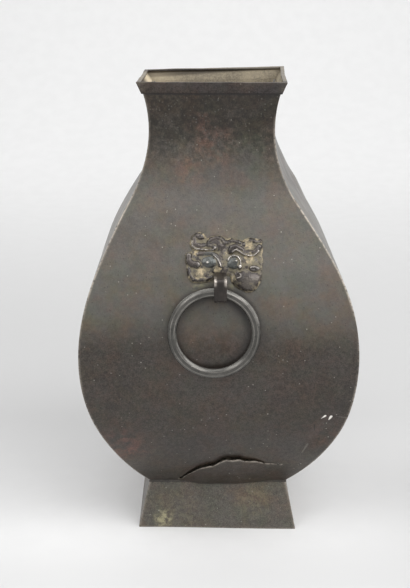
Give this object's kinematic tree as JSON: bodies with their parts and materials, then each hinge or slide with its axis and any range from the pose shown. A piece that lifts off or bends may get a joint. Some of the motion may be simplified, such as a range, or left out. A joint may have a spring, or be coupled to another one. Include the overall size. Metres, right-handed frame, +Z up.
{
  "type": "square bronze hu vessel",
  "caption": "Square-section bronze hu jar with a swelling belly, splayed foot, flared rim collar and loose rings hung from animal masks on front and back.",
  "frame": {"origin": "middle of the square that the foot stands on", "axes": "+Z up, the front with the torn lower wall faces -Y, +X to the right seen from the front"},
  "size_m": [0.2106, 0.227, 0.36],
  "materials": {
    "bronze_body": "satin dark patina",
    "bronze_foot": "satin dark patina",
    "bronze_rim": "satin dark patina",
    "bronze_mask": "earthy olive patina",
    "bronze_strap": "worn satin patina",
    "bronze_ring": "worn satin, grey",
    "solder": "dull grey"
  },
  "bodies": {
    "vessel": {"front_wall": "bronze_body", "back_wall": "bronze_body", "left_wall": "bronze_body", "right_wall": "bronze_body", "floor_plate": "bronze_body", "foot_front": "bronze_foot", "foot_back": "bronze_foot", "foot_left": "bronze_foot", "foot_right": "bronze_foot", "rim_front": "bronze_rim", "rim_back": "bronze_rim", "rim_left": "bronze_rim", "rim_right": "bronze_rim", "wall_solder": "solder", "floor_solder": "solder", "foot_solder": "solder", "mask_front": "bronze_mask", "staple_front": "bronze_strap", "mask_back": "bronze_mask", "staple_back": "bronze_strap"},
    "ring_front": {"ring_front": "bronze_ring"},
    "ring_back": {"ring_back": "bronze_ring"}
  },
  "joints": [
    {"name": "ring_front_swing", "type": "hinge", "parent": "vessel", "child": "ring_front", "pos_m": [0.001, -0.10679, 0.2124], "axis": [-1, 0, 0], "range_deg": [0, 165]},
    {"name": "ring_back_swing", "type": "hinge", "parent": "vessel", "child": "ring_back", "pos_m": [-0.001, 0.10679, 0.2124], "axis": [1, 0, 0], "range_deg": [0, 165]}
  ]
}
